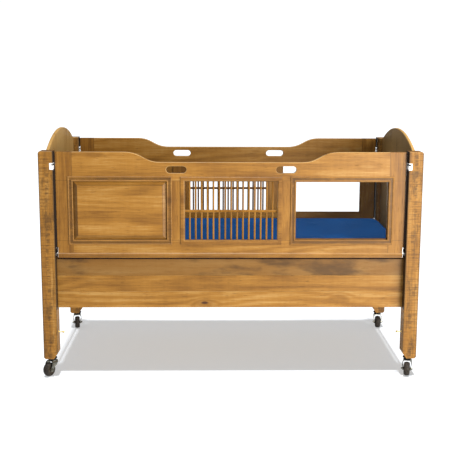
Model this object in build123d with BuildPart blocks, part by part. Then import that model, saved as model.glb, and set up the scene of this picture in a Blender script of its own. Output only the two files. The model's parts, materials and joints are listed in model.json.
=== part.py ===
"""Adjustable care bed: an oak frame on casters with two fold-down side gates, arched end panels
and a jointed, motor-driven mattress deck.

Frame: origin on the floor under the middle of the bed, +X along the bed from head to foot,
-Y towards the front gate, +Z up. Millimetres.
"""

import os
from math import cos, radians, sin, tan

from build123d import *

os.makedirs("parts", exist_ok=True)

# ---- driving dimensions -------------------------------------------------------------------------
bed_length = 2150.0
bed_width = 1100.0
post_width = 82.0
post_depth = 84.0
post_top = 1303.0
caster_height = 105.0

gate_gap = 9.5
gate_thick = 29.0
gate_inset = 30.5
gate_bottom = 695.0
gate_top = 1297.0
gate_dip = 1239.5
stile_width = 90.0
mullion_centre = 312.1
mullion_width = 95.2
opening_low = 795.0
opening_high = 1136.0

pivot_inset = 36.7
pivot_height = 718.6
latch_height = 1228.0

board_low = 397.0
board_high = 682.0
board_thick = 29.0
end_panel_thick = 18.0
arch_rise = 95.0

deck_top = 609.0
deck_thick = 12.0
deck_width = 900.0
mattress_length = 2032.0
mattress_width = 914.0
mattress_thick = 150.0
back_hinge_x = -231.0
thigh_hinge_x = -23.0
knee_hinge_x = 331.0
back_travel = 55.0
thigh_travel = 25.0
lever_radius = 110.0

joint_line = 0.2
running = 0.05

# ---- places worked out from them ----------------------------------------------------------------
post_x = bed_length / 2 - post_width / 2
post_y = bed_width / 2 - post_depth / 2
inner_x = bed_length / 2 - post_width
inner_y = bed_width / 2 - post_depth
outer_y = bed_width / 2
post_bottom = caster_height
gate_half = inner_x - gate_gap
gate_face = outer_y - gate_inset
gate_back = gate_face - gate_thick
gate_mid = (gate_face + gate_back) / 2
stile_inner = gate_half - stile_width
mullion_inner = mullion_centre - mullion_width / 2
mullion_outer = mullion_centre + mullion_width / 2
opening_mid = (opening_low + opening_high) / 2
opening_height = opening_high - opening_low
side_opening_mid = (stile_inner + mullion_outer) / 2
side_opening_width = stile_inner - mullion_outer
pivot_y = outer_y - pivot_inset
hinge_z = deck_top - deck_thick / 2
panel_inner_x = post_x - end_panel_thick / 2

ends = {"left": -1, "right": 1}
sides = {"front": -1, "rear": 1}
corners = {f"{side}_{end}": (ends[end], sides[side]) for side in sides for end in ends}


def finish(piece, name):
    """Label a finished builder and write its STEP file."""
    piece.part.label = name
    export_step(piece.part, f"parts/{name}.step")


def wall_plane(y):
    """Upright plane at a given Y: sketch x is X, sketch y is Z."""
    return Plane.XZ.offset(-y)


def block(low, high, mode=Mode.ADD):
    """Box between two opposite corners, given in any order."""
    size = [abs(b - a) for a, b in zip(low, high)]
    middle = [(a + b) / 2 for a, b in zip(low, high)]
    with Locations(tuple(middle)):
        Box(*size, mode=mode)


def bar_x(x_from, x_to, y, z, radius, mode=Mode.ADD):
    """Round bar along X between two X values."""
    with Locations(Location(((x_from + x_to) / 2, y, z), (0, 90, 0))):
        Cylinder(radius, abs(x_to - x_from), mode=mode)


# ---- corner posts -------------------------------------------------------------------------------
keeper_size = (19.0, 62.0, 37.5)
keeper_mid_z = 1218.75
plate_size = (3.0, 24.0, 58.0)
plate_mid_z = 729.0
pin_radius = 4.0


def keeper_block(sx, sy, mode=Mode.ADD):
    """The white latch block let into the inner outside corner of a post."""
    low = (sx * inner_x, sy * outer_y, keeper_mid_z - keeper_size[2] / 2)
    high = (sx * (inner_x + keeper_size[0]), sy * (outer_y - keeper_size[1]), low[2] + keeper_size[2])
    block(low, high, mode)


def pivot_plate_block(sx, sy, mode=Mode.ADD):
    """The steel plate let into a post's inner face, which carries a gate's pivot pin."""
    low = (sx * inner_x, sy * pivot_y - plate_size[1] / 2, plate_mid_z - plate_size[2] / 2)
    high = (sx * (inner_x + plate_size[0]), low[1] + plate_size[1], low[2] + plate_size[2])
    block(low, high, mode)


def make_post(name, sx, sy):
    """Square post with a rounded top, a chamfered foot and pockets for the latch and the pivot."""
    toe_width, toe_height, heel, top_round = 25.0, 35.0, 10.0, 14.0
    inner, outer = sx * inner_x, sx * bed_length / 2
    with BuildPart() as post:
        with BuildSketch(wall_plane(sy * post_y)):
            with BuildLine():
                Polyline(
                    (outer - sx * top_round, post_top),
                    (inner, post_top),
                    (inner, post_bottom + toe_height),
                    (inner + sx * toe_width, post_bottom),
                    (outer - sx * heel, post_bottom),
                    (outer, post_bottom + heel),
                    (outer, post_top - top_round),
                )
                RadiusArc(
                    (outer, post_top - top_round),
                    (outer - sx * top_round, post_top),
                    -sx * top_round,
                )
            make_face()
        extrude(amount=post_depth / 2, both=True)
        chamfer(post.edges().filter_by(Axis.Z), length=2.5)
        keeper_block(sx, sy, Mode.SUBTRACT)
        pivot_plate_block(sx, sy, Mode.SUBTRACT)
        bar_x(inner, inner + sx * 16, sy * pivot_y, pivot_height, pin_radius + 1, Mode.SUBTRACT)
    finish(post, f"post_{name}")


for corner, (sx, sy) in corners.items():
    make_post(corner, sx, sy)

with BuildPart() as latch_keepers:
    groove_depth, groove_reach, groove_half = 13.0, 54.0, 5.5
    for sx, sy in corners.values():
        keeper_block(sx, sy)
        block(
            (sx * inner_x, sy * outer_y, latch_height - groove_half),
            (sx * (inner_x + groove_depth), sy * (outer_y - groove_reach), latch_height + groove_half),
            Mode.SUBTRACT,
        )
finish(latch_keepers, "latch_keepers")

with BuildPart() as pivot_plates:
    for sx, sy in corners.values():
        pivot_plate_block(sx, sy)
        bar_x(
            sx * (inner_x - 1),
            sx * (inner_x + 5),
            sy * pivot_y,
            pivot_height,
            pin_radius + running,
            Mode.SUBTRACT,
        )
finish(pivot_plates, "pivot_plates")

# Brass pegs low on the inner face of each post, behind the folded gate.
with BuildPart() as rest_pegs:
    for sx, sy in corners.values():
        peg_origin = (sx * inner_x, sy * post_y, 256)
        with BuildSketch(Plane(origin=peg_origin, x_dir=(-sx, 0, 0), z_dir=(0, -sx, 0))):
            with BuildLine():
                Polyline((28, 6.5), (24, 5), (23, 3), (2, 3), (2, 9), (0, 9), (0, 0), (34.5, 0))
                RadiusArc((34.5, 0), (28, 6.5), -6.5)
            make_face()
        revolve(axis=Axis(peg_origin, (1, 0, 0)))
finish(rest_pegs, "rest_pegs")

# ---- end panels and side boards -----------------------------------------------------------------
for name, sx in (("head_panel", -1), ("foot_panel", 1)):
    with BuildPart() as end_panel:
        with BuildSketch(Plane.YZ.offset(sx * post_x)):
            with BuildLine():
                Polyline(
                    (-inner_y, post_top),
                    (-inner_y, board_low),
                    (inner_y, board_low),
                    (inner_y, post_top),
                )
                ThreePointArc((inner_y, post_top), (0, post_top + arch_rise), (-inner_y, post_top))
            make_face()
        extrude(amount=end_panel_thick / 2, both=True)
        fillet(end_panel.edges().filter_by(GeomType.CIRCLE), radius=4)
    finish(end_panel, name)

# Each side board is three planks edge to edge, with eased edges along the joints.
plank_height = (board_high - board_low) / 3
for side, sy in sides.items():
    with BuildPart() as side_board:
        for row in range(3):
            low_z = board_low + row * plank_height
            block(
                (-inner_x, sy * inner_y, low_z + joint_line / 2),
                (inner_x, sy * (inner_y + board_thick), low_z + plank_height - joint_line / 2),
            )
        chamfer(side_board.edges().filter_by(Axis.X), length=1.2)
    finish(side_board, f"{side}_side_board")


# ---- side gates ---------------------------------------------------------------------------------
ogee_outer, ogee_inner = 605.0, 395.0
slot_centre_x, slot_centre_z, slot_length, slot_height = 309.0, 1198.0, 114.0, 39.0
relief_depth, relief_height = 4.0, 62.0
barrel_radius, barrel_length, barrel_throat = 7.0, 52.0, 25.5
bolt_radius, bolt_tip_x, bolt_tail_x = 3.25, 1002.7, 936.0
collar_radius = 4.7
panel_setback, panel_slab = 2.5, 18.0
lip_depth, pane_thick = 6.5, 6.0


def gate_rails(side, sy):
    """Top rail with its dipped edge and two hand slots, and the bottom rail."""
    with BuildPart() as rails:
        with BuildSketch(wall_plane(sy * gate_mid)):
            with BuildLine():
                Polyline(
                    (-ogee_outer, gate_top),
                    (-stile_inner, gate_top),
                    (-stile_inner, opening_high),
                    (stile_inner, opening_high),
                    (stile_inner, gate_top),
                    (ogee_outer, gate_top),
                )
                half = (ogee_outer + ogee_inner) / 2
                Bezier((ogee_outer, gate_top), (half, gate_top), (half, gate_dip), (ogee_inner, gate_dip))
                Line((ogee_inner, gate_dip), (-ogee_inner, gate_dip))
                Bezier((-ogee_inner, gate_dip), (-half, gate_dip), (-half, gate_top), (-ogee_outer, gate_top))
            make_face()
            with Locations((-slot_centre_x, slot_centre_z), (slot_centre_x, slot_centre_z)):
                SlotOverall(slot_length, slot_height, mode=Mode.SUBTRACT)
        extrude(amount=gate_thick / 2, both=True)
        rims = rails.edges().filter_by(Plane.XZ)
        slot_rims = rims.filter_by(
            lambda edge: abs(edge.center().Z - slot_centre_z) < slot_height / 2 + 1
            and abs(abs(edge.center().X) - slot_centre_x) < slot_length / 2 + 1
        )
        top_rims = rims.filter_by(lambda edge: edge.center().Z > gate_dip - 1)
        fillet(slot_rims + top_rims, radius=3)
        block((-stile_inner, sy * gate_face, gate_bottom), (stile_inner, sy * gate_back, opening_low))
    finish(rails, f"{side}_gate_rails")


def gate_stiles(side, sy):
    """Two end stiles, bored for the latches, and two mullions."""
    with BuildPart() as stiles:
        for sx in ends.values():
            block((sx * stile_inner, sy * gate_face, gate_bottom), (sx * gate_half, sy * gate_back, gate_top))
            block(
                (sx * (gate_half - relief_depth), sy * (gate_face + 1), gate_bottom - 1),
                (sx * (gate_half + 1), sy * (gate_back - 1), gate_bottom + relief_height),
                Mode.SUBTRACT,
            )
            bar_x(
                sx * gate_half,
                sx * (gate_half - barrel_length),
                sy * gate_mid,
                latch_height,
                barrel_radius,
                Mode.SUBTRACT,
            )
            bar_x(sx * gate_half, sx * 910, sy * gate_mid, latch_height, 4, Mode.SUBTRACT)
            block(
                (sx * mullion_inner, sy * gate_face, opening_low),
                (sx * mullion_outer, sy * gate_back, opening_high),
            )
    finish(stiles, f"{side}_gate_stiles")


def gate_panel(side, sy):
    """Raised panel: a slab with a wide bevel round its outer face."""
    bevel_width, bevel_depth = 27.0, 8.0
    face = gate_face - panel_setback
    with BuildPart() as panel:
        block(
            (-stile_inner, sy * face, opening_low),
            (-mullion_outer, sy * (face - panel_slab), opening_high),
        )
        outer_face = panel.faces().sort_by(Axis.Y)[0 if sy < 0 else -1]
        chamfer(outer_face.edges(), length=bevel_width, length2=bevel_depth, reference=outer_face)
    finish(panel, f"{side}_gate_raised_panel")


# Moulding profiles: x is away from the opening, y is proud of the gate's face.
with BuildSketch() as double_bead:
    with BuildLine():
        Polyline((17, 3), (16, 3), (16, 2.4), (6, 2.4), (6, 3), (4, 3))
        ThreePointArc((4, 3), (0, 7), (-4, 3))
        Polyline((-4, 3), (-4, -lip_depth), (0, -lip_depth), (0, 0), (25, 0), (25, 3))
        ThreePointArc((25, 3), (21, 6.5), (17, 3))
    make_face()

with BuildSketch() as plain_bevel:
    Polygon(
        (-4, -lip_depth),
        (-4, 1.5),
        (4, 6),
        (20, 6),
        (22, 4),
        (22, 0),
        (0, 0),
        (0, -lip_depth),
        align=None,
    )


def stop_bead(reach):
    """Square bead that holds a panel or pane from the inner side, up to a depth behind the face."""
    with BuildSketch() as bead:
        Polygon((-8, -gate_thick), (-8, -reach), (0, -reach), (0, -gate_thick), align=None)
    return bead


def mitred_stick(profile, run, away):
    """One side of a mitred frame, lying along X below the middle of its opening."""
    overlap = 30.0
    with BuildPart() as stick:
        with BuildSketch(Plane(origin=(0, -away, 0), x_dir=(0, -1, 0), z_dir=(-1, 0, 0))):
            add(profile.sketch)
        extrude(amount=run / 2 + overlap, both=True)
        for sx in ends.values():
            corner_point = (sx * (run / 2 - joint_line / 2), -away, 0)
            split(bisect_by=Plane(origin=corner_point, z_dir=(sx, 1, 0)), keep=Keep.BOTTOM)
    return stick.part


def place_frame(profile, centre_x, width, sy):
    """Four mitred sticks round one opening of a gate, on its outer face."""
    # Sketch x runs along the gate as seen from outside, sketch y is up, and z points outwards.
    outside = Plane(origin=(centre_x, sy * gate_face, opening_mid), x_dir=(-sy, 0, 0), z_dir=(0, sy, 0))
    flat = mitred_stick(profile, width, opening_height / 2)
    upright = mitred_stick(profile, opening_height, width / 2)
    with Locations(outside.location):
        for turn, stick in ((0, flat), (180, flat), (90, upright), (270, upright)):
            add(stick, rotation=(0, 0, turn))


def gate_mouldings(side, sy):
    """Mitred mouldings and stop beads round the three openings, and the moulding along the base."""
    frames = (
        (double_bead, -side_opening_mid, side_opening_width),
        (double_bead, side_opening_mid, side_opening_width),
        (plain_bevel, 0, 2 * mullion_inner),
        (stop_bead(panel_setback + panel_slab), -side_opening_mid, side_opening_width),
        (stop_bead(lip_depth + pane_thick), side_opening_mid, side_opening_width),
    )
    with BuildPart() as mouldings:
        for profile, centre_x, width in frames:
            place_frame(profile, centre_x, width, sy)
        with BuildSketch(Plane.YZ):
            with BuildLine():
                Polyline(
                    (sy * gate_face, gate_bottom + 28),
                    (sy * gate_face, gate_bottom),
                    (sy * (gate_face + 4), gate_bottom),
                    (sy * (gate_face + 4), gate_bottom + 13),
                )
                ThreePointArc(
                    (sy * (gate_face + 4), gate_bottom + 13),
                    (sy * (gate_face + 7), gate_bottom + 19),
                    (sy * (gate_face + 3), gate_bottom + 25),
                )
                Line((sy * (gate_face + 3), gate_bottom + 25), (sy * gate_face, gate_bottom + 28))
            make_face()
        extrude(amount=gate_half - relief_depth, both=True)
    finish(mouldings, f"{side}_gate_mouldings")


def gate_grille(side, sy):
    """Fifteen turned spindles and the thin rail that they pass through at mid height."""
    spindle_radius, spindle_pitch, spindle_count = 5.35, 33.5, 15
    bar_z, bar_height, bar_depth = 962.0, 13.8, 15.0
    spindle_y = sy * (gate_mid - 1)
    with BuildPart() as grille:
        block(
            (-mullion_inner, spindle_y - bar_depth / 2, bar_z - bar_height / 2),
            (mullion_inner, spindle_y + bar_depth / 2, bar_z + bar_height / 2),
        )
        chamfer(grille.edges().filter_by(Axis.X), length=2)
        with Locations((0, spindle_y, opening_mid)):
            with GridLocations(spindle_pitch, 0, spindle_count, 1):
                Cylinder(spindle_radius + joint_line / 2, opening_height, mode=Mode.SUBTRACT)
                Cylinder(spindle_radius, opening_height)
    finish(grille, f"{side}_gate_grille")


def gate_pane(side, sy):
    """Clear pane held between the moulding's lip and the stop beads."""
    pane_outer = gate_face - lip_depth
    with BuildPart() as pane:
        block(
            (mullion_outer, sy * pane_outer, opening_low),
            (stile_inner, sy * (pane_outer - pane_thick), opening_high),
        )
    finish(pane, f"{side}_gate_pane")


def gate_pivots(side, sy):
    """Steel plates on the gate's lower ends, each with the pin that the gate turns on."""
    foot_x = gate_half - relief_depth
    with BuildPart() as pivots:
        for sx in ends.values():
            block(
                (sx * foot_x, sy * gate_face, gate_bottom + 2),
                (sx * (foot_x + 3), sy * (gate_back + 2), gate_bottom + relief_height - 2),
            )
            bar_x(sx * foot_x, sx * (inner_x + 9), sy * pivot_y, pivot_height, pin_radius)
            bar_x(sx * foot_x, sx * (inner_x - 1), sy * pivot_y, pivot_height, pin_radius + 2)
    finish(pivots, f"{side}_gate_pivots")


def latch_barrels(side, sy):
    """Steel sleeves in the gate's ends that guide the spring bolts."""
    with BuildPart() as barrels:
        for sx in ends.values():
            mouth, tail = sx * gate_half, sx * (gate_half - barrel_length)
            bar_x(mouth, tail, sy * gate_mid, latch_height, barrel_radius)
            bar_x(mouth, tail, sy * gate_mid, latch_height, bolt_radius + running, Mode.SUBTRACT)
            throat = sx * (gate_half - barrel_throat)
            bar_x(mouth, throat, sy * gate_mid, latch_height, collar_radius + 0.4, Mode.SUBTRACT)
    finish(barrels, f"{side}_latch_barrels")


def latch_bolt(name, sx, sy):
    """Sprung bolt: a round-nosed pin with the collar that a thumb pushes back."""
    with BuildPart() as bolt:
        bar_x(sx * bolt_tail_x, sx * bolt_tip_x, sy * gate_mid, latch_height, bolt_radius)
        nose = bolt.edges().filter_by(GeomType.CIRCLE).sort_by(Axis.X)[-1 if sx > 0 else 0]
        fillet(nose, radius=1.5)
        bar_x(sx * (gate_half + 1), sx * (gate_half + 4), sy * gate_mid, latch_height, collar_radius)
    finish(bolt, f"latch_bolt_{name}")


for side, sy in sides.items():
    gate_rails(side, sy)
    gate_stiles(side, sy)
    gate_panel(side, sy)
    gate_mouldings(side, sy)
    gate_grille(side, sy)
    gate_pane(side, sy)
    gate_pivots(side, sy)
    latch_barrels(side, sy)

for corner, (sx, sy) in corners.items():
    latch_bolt(corner, sx, sy)

# ---- deck frame ---------------------------------------------------------------------------------
rail_y, rail_width, rail_low, rail_high = 439.0, 30.0, 540.0, 590.0
cross_low, cross_high, cross_width = 547.0, 577.0, 30.0
cross_places = (-880.0, -560.0, 120.0, 520.0, 880.0)
deck_bottom = deck_top - deck_thick
pad_places = (-900.0, -500.0, 120.0, 440.0, 940.0)
seat_pad_places = (-190.0, -64.0)
pad_clearance = 0.4

bracket_thick = 4.0
rail_end = panel_inner_x - bracket_thick - joint_line
cross_end = rail_y - rail_width / 2 - joint_line

# Each tube and bracket is its own solid, butted against its neighbour where it is welded.
with BuildPart() as deck_frame:
    for sy in sides.values():
        block(
            (-rail_end, sy * rail_y - rail_width / 2, rail_low),
            (rail_end, sy * rail_y + rail_width / 2, rail_high),
        )
        for sx in ends.values():
            block(
                (sx * panel_inner_x, sy * rail_y - 22, rail_low - 45),
                (sx * (panel_inner_x - bracket_thick), sy * rail_y + 22, rail_high + 15),
            )
    for x in cross_places:
        block(
            (x - cross_width / 2, -cross_end, cross_low),
            (x + cross_width / 2, cross_end, cross_high),
        )
    # Rest pads on the rails: the seat section is fixed on its own, the others lift off theirs.
    pad_low = rail_high + joint_line
    for sy in sides.values():
        for x in pad_places:
            block(
                (x - 30, sy * rail_y - 12, pad_low),
                (x + 30, sy * rail_y + 12, deck_bottom - pad_clearance),
            )
        for x in seat_pad_places:
            block((x - 25, sy * rail_y - 12, pad_low), (x + 25, sy * rail_y + 12, deck_bottom))
finish(deck_frame, "deck_frame")

# ---- deck sections ------------------------------------------------------------------------------
hinge_gap = 4.0
knuckle_radius = deck_thick / 2
deck_pin_radius = 3.0
knuckle_stations = (-300.0, 300.0)
inner_knuckle, outer_knuckle, knuckle_clearance = 24.0, 14.0, 0.4


def knuckle(x, y, width, mode=Mode.ADD, radius=knuckle_radius):
    """Round knuckle about a deck hinge's axis, which runs along Y."""
    with Locations(Location((x, y, hinge_z), (90, 0, 0))):
        Cylinder(radius, width, mode=mode)


def outer_knuckle_places():
    """Y of every outer knuckle, two to a station."""
    reach = inner_knuckle / 2 + knuckle_clearance + outer_knuckle / 2
    return [y + turn * reach for y in knuckle_stations for turn in (-1, 1)]


def deck_edge(x, role):
    """Knuckles for one hinged edge of a section, with room for the other section's knuckles."""
    own, other = (knuckle_stations, outer_knuckle_places()) if role == "inner" else (
        outer_knuckle_places(),
        knuckle_stations,
    )
    own_width, other_width = (
        (inner_knuckle, outer_knuckle) if role == "inner" else (outer_knuckle, inner_knuckle)
    )
    for y in other:
        knuckle(x, y, other_width + 2 * knuckle_clearance, Mode.SUBTRACT, knuckle_radius + 0.6)
    for y in own:
        knuckle(x, y, own_width)
        bore = deck_pin_radius + (running if role == "inner" else 0)
        knuckle(x, y, own_width, Mode.SUBTRACT, bore)


with BuildPart() as air_slot:
    with BuildSketch():
        SlotOverall(110, 24, rotation=90)
    extrude(amount=deck_thick, both=True)


def deck_slab(x_from, x_to):
    """Plywood slab with rows of air slots."""
    slot_pitch_x, slot_pitch_y, edge_margin = 92.0, 170.0, 90.0
    block((x_from, -deck_width / 2, deck_bottom), (x_to, deck_width / 2, deck_top))
    columns = 1 + int((x_to - x_from - edge_margin) // slot_pitch_x)
    with Locations(((x_from + x_to) / 2, 0, hinge_z)):
        with GridLocations(slot_pitch_x, slot_pitch_y, columns, 5):
            add(air_slot.part, mode=Mode.SUBTRACT)


def lever(name, hinge_x, reach, root_from, root_to, y):
    """Steel lever under a deck section, with the cross pin that its push rod drives."""
    swing = radians(reach)
    pin_x = hinge_x + lever_radius * sin(swing)
    pin_z = hinge_z - lever_radius * cos(abs(swing))
    with BuildPart() as arm:
        with BuildSketch(wall_plane(y)):
            with BuildLine():
                Polyline(
                    (root_from, deck_bottom),
                    (root_to, deck_bottom),
                    (pin_x, pin_z + 6),
                    (pin_x, pin_z - 6),
                    (root_from, deck_bottom),
                )
            make_face()
            with Locations((pin_x, pin_z)):
                Circle(12)
        extrude(amount=4, both=True)
        with Locations(Location((pin_x, y, pin_z), (90, 0, 0))):
            Cylinder(5, 26)
    finish(arm, name)


def push_rod(name, pin_x, y, towards):
    """Push rod with a slotted fork round the lever's pin. towards is the side its motor is on."""
    rod_z = hinge_z - lever_radius * (1 + cos(radians(half_swing[name]))) / 2
    rise = lever_radius * (1 - cos(radians(half_swing[name])))
    with BuildPart() as rod:
        for turn in (-1, 1):
            block(
                (pin_x - towards * 15, y + turn * 5.5, rod_z - rise / 2 - 17),
                (pin_x + towards * 44, y + turn * 11.5, rod_z + rise / 2 + 17),
            )
        with BuildSketch(wall_plane(y)):
            with Locations((pin_x, rod_z)):
                SlotOverall(rise + 14, 13.6, rotation=90)
        extrude(amount=14, both=True, mode=Mode.SUBTRACT)
        block((pin_x + towards * 30, y - 11.5, rod_z - 12), (pin_x + towards * 50, y + 11.5, rod_z + 12))
        bar_x(pin_x + towards * 48, pin_x + towards * 330, y, rod_z, rod_radius)
    finish(rod, name)
    return rod_z


half_swing = {"back_push_rod": back_travel / 2, "leg_push_rod": thigh_travel / 2}
rod_radius = 9.0
back_rod_y, leg_rod_y = -110.0, 110.0

with BuildPart() as back_deck:
    deck_slab(-panel_inner_x + 12, back_hinge_x - hinge_gap)
    deck_edge(back_hinge_x, "inner")
finish(back_deck, "back_deck")

with BuildPart() as seat_deck:
    deck_slab(back_hinge_x + hinge_gap, thigh_hinge_x - hinge_gap)
    deck_edge(back_hinge_x, "outer")
    deck_edge(thigh_hinge_x, "outer")
finish(seat_deck, "seat_deck")

with BuildPart() as thigh_deck:
    deck_slab(thigh_hinge_x + hinge_gap, knee_hinge_x - hinge_gap)
    deck_edge(thigh_hinge_x, "inner")
    deck_edge(knee_hinge_x, "outer")
finish(thigh_deck, "thigh_deck")

with BuildPart() as calf_deck:
    deck_slab(knee_hinge_x + hinge_gap, panel_inner_x - 12)
    deck_edge(knee_hinge_x, "inner")
finish(calf_deck, "calf_deck")


def hinge_pins(name, hinge_places):
    """Steel pins through the knuckles of the deck hinges."""
    length = inner_knuckle + 2 * (outer_knuckle + knuckle_clearance) + 4
    with BuildPart() as pins:
        for x in hinge_places:
            for y in knuckle_stations:
                knuckle(x, y, length, radius=deck_pin_radius)
    finish(pins, name)


hinge_pins("deck_hinge_pins", (back_hinge_x, thigh_hinge_x))
hinge_pins("knee_hinge_pins", (knee_hinge_x,))

lever("back_lever", back_hinge_x, back_travel / 2, -330, -243, back_rod_y)
lever("leg_lever", thigh_hinge_x, -thigh_travel / 2, 90, -11, leg_rod_y)
back_pin_x = back_hinge_x + lever_radius * sin(radians(back_travel / 2))
leg_pin_x = thigh_hinge_x - lever_radius * sin(radians(thigh_travel / 2))
back_rod_z = push_rod("back_push_rod", back_pin_x, back_rod_y, 1)
leg_rod_z = push_rod("leg_push_rod", leg_pin_x, leg_rod_y, -1)

# Two motor drives, each an outer tube bored for its rod, a gear case and a motor, and their control box.
with BuildPart() as lift_motors:
    drives = ((back_pin_x, back_rod_y, back_rod_z, 1, 120.0), (leg_pin_x, leg_rod_y, leg_rod_z, -1, -560.0))
    for pin_x, y, z, towards, cross_x in drives:
        mouth = pin_x + towards * 175
        rear = mouth + towards * 330
        motor_y = y + (58 if y > 0 else -58)
        bar_x(mouth, rear, y, z, 22)
        block((rear, y - 34, z - 40), (rear + towards * 66, y + 34, z + 40))
        block((rear, motor_y - 30, z - 32), (rear + towards * 66, motor_y + 30, z + 32))
        bar_x(rear, rear - towards * 160, motor_y, z, 28)
        block((cross_x - 14, y - 16, z + 15), (cross_x + 14, y + 16, cross_low))
        bar_x(mouth, mouth + towards * 262, y, z, rod_radius + running, Mode.SUBTRACT)
    # The control box hangs under the leg end, with its inlet facing the middle of the bed.
    box_x, box_width, box_depth, box_low = 520.0, 240.0, 150.0, 492.0
    inlet_depth, inlet_width, inlet_z = 12.0, 30.0, 517.0
    inlet_x = box_x - box_width / 2
    block((inlet_x, -box_depth / 2, box_low), (box_x + box_width / 2, box_depth / 2, cross_low))
    block(
        (inlet_x - 1, -inlet_width / 2, inlet_z - inlet_depth),
        (inlet_x + inlet_depth, inlet_width / 2, inlet_z + inlet_depth),
        Mode.SUBTRACT,
    )
finish(lift_motors, "lift_motors")

# ---- mattress -----------------------------------------------------------------------------------
mattress_low = deck_top + 1
mattress_high = mattress_low + mattress_thick


def lean(hinge_x, half_angle, z, turn):
    """X of a mattress end that leans back from a hinge, so that the sections can close up."""
    return hinge_x + turn * (2 + (z - hinge_z) * tan(radians(half_angle)))


def mattress_section(name, left_low, left_high, right_low, right_high):
    """One section of the foam mattress, from its lower and upper end positions."""
    with BuildPart() as section:
        with BuildSketch(wall_plane(0)):
            Polygon(
                (left_low, mattress_low),
                (right_low, mattress_low),
                (right_high, mattress_high),
                (left_high, mattress_high),
                align=None,
            )
        extrude(amount=mattress_width / 2, both=True)
    finish(section, name)


back_lean, thigh_lean = back_travel / 2, thigh_travel / 2
head_end, foot_end = -mattress_length / 2, mattress_length / 2
mattress_section(
    "mattress_back",
    head_end,
    head_end,
    lean(back_hinge_x, back_lean, mattress_low, -1),
    lean(back_hinge_x, back_lean, mattress_high, -1),
)
mattress_section(
    "mattress_seat",
    lean(back_hinge_x, back_lean, mattress_low, 1),
    lean(back_hinge_x, back_lean, mattress_high, 1),
    lean(thigh_hinge_x, thigh_lean, mattress_low, -1),
    lean(thigh_hinge_x, thigh_lean, mattress_high, -1),
)
mattress_section(
    "mattress_thigh",
    lean(thigh_hinge_x, thigh_lean, mattress_low, 1),
    lean(thigh_hinge_x, thigh_lean, mattress_high, 1),
    knee_hinge_x - 2,
    knee_hinge_x - 2,
)
mattress_section("mattress_calf", knee_hinge_x + 2, knee_hinge_x + 2, foot_end, foot_end)

# ---- casters ------------------------------------------------------------------------------------
wheel_radius, wheel_width, trail = 40.0, 32.0, 30.0
tyre_depth = 9.0
fork_gap, fork_thick, fork_top = 21.0, 3.0, 90.0
bow, plate_half = 3.5, 19.0
axle_radius = 4.0
kingpin_radius = 5.0
swivel_turn = {"front_left": 150.0, "front_right": 164.0, "rear_left": 188.0, "rear_right": 176.0}


def axle_bar(y, z, radius, length, mode=Mode.ADD):
    """Round bar along X through a wheel's centre, in the caster's own frame."""
    with Locations(Location((0, y, z), (0, 90, 0))):
        Cylinder(radius, length, mode=mode)


def fork_section():
    """Half of the fork's front outline: upright at the axle, bowed out round the wheel, flat on top."""
    outside = fork_gap + fork_thick
    outer = ((outside, 20), (outside, 50), (outside + bow, 64), (outside + bow - 1, 78), (plate_half, fork_top))
    inner = (
        (plate_half - 1.6, fork_top - 4),
        (fork_gap + bow - 1, 76.5),
        (fork_gap + bow, 64),
        (fork_gap, 50),
        (fork_gap, 20),
    )
    return outer, inner


# The caster's own frame has its swivel axis on Z and trails towards +Y.
with BuildPart() as fork_shape:
    with BuildSketch(Plane.YZ):
        with BuildLine():
            Polyline(
                (trail - 11, wheel_radius),
                (-22, fork_top - 8),
                (-22, fork_top),
                (26, fork_top),
                (trail + 11, wheel_radius),
            )
            RadiusArc((trail + 11, wheel_radius), (trail - 11, wheel_radius), 11)
        make_face()
    extrude(amount=fork_gap + fork_thick + bow, both=True)
    outer_half, inner_half = fork_section()
    mirrored_inner = [(-x, z) for x, z in reversed(inner_half)]
    mirrored_outer = [(-x, z) for x, z in reversed(outer_half)]
    with BuildSketch(Plane.XZ):
        Polygon(*outer_half, *mirrored_outer, *mirrored_inner, *inner_half, align=None)
    extrude(amount=90, both=True, mode=Mode.INTERSECT)
    with BuildSketch(Plane.XY.offset(fork_top - 4)):
        Circle(24)
    extrude(amount=4)
    with BuildSketch(Plane.XY.offset(fork_top - 5)):
        Circle(kingpin_radius + running)
    extrude(amount=6, mode=Mode.SUBTRACT)
    axle_bar(trail, wheel_radius, axle_radius + joint_line / 2, 60, Mode.SUBTRACT)
    axle_bar(trail, wheel_radius, axle_radius, 2 * (fork_gap + fork_thick) + 20)
    for turn in (-1, 1):
        with Locations(Location((turn * (fork_gap + fork_thick + 2.7), trail, wheel_radius), (0, 90, 0))):
            Cylinder(7, 5)

with BuildPart() as wheel_shape:
    axle_bar(trail, wheel_radius, wheel_radius - tyre_depth, wheel_width - 4)
    for turn in (-1, 1):
        with Locations(Location((turn * (wheel_width / 2 - 2), trail, wheel_radius), (0, 90, 0))):
            Cylinder(wheel_radius - tyre_depth - 5, 6, mode=Mode.SUBTRACT)
    axle_bar(trail, wheel_radius, 9, 2 * fork_gap - 1.2)
    axle_bar(trail, wheel_radius, axle_radius + running, 2 * fork_gap + 2, Mode.SUBTRACT)

with BuildPart() as tyre_shape:
    tread_half, rim, shoulder = wheel_width / 2, trail + wheel_radius - tyre_depth, trail + wheel_radius - 5
    with BuildSketch(Plane.XY.offset(wheel_radius)):
        with BuildLine():
            Polyline((-tread_half, shoulder), (-tread_half, rim), (tread_half, rim), (tread_half, shoulder))
            ThreePointArc((tread_half, shoulder), (0, trail + wheel_radius), (-tread_half, shoulder))
        make_face()
    revolve(axis=Axis((0, trail, wheel_radius), (1, 0, 0)))

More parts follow.
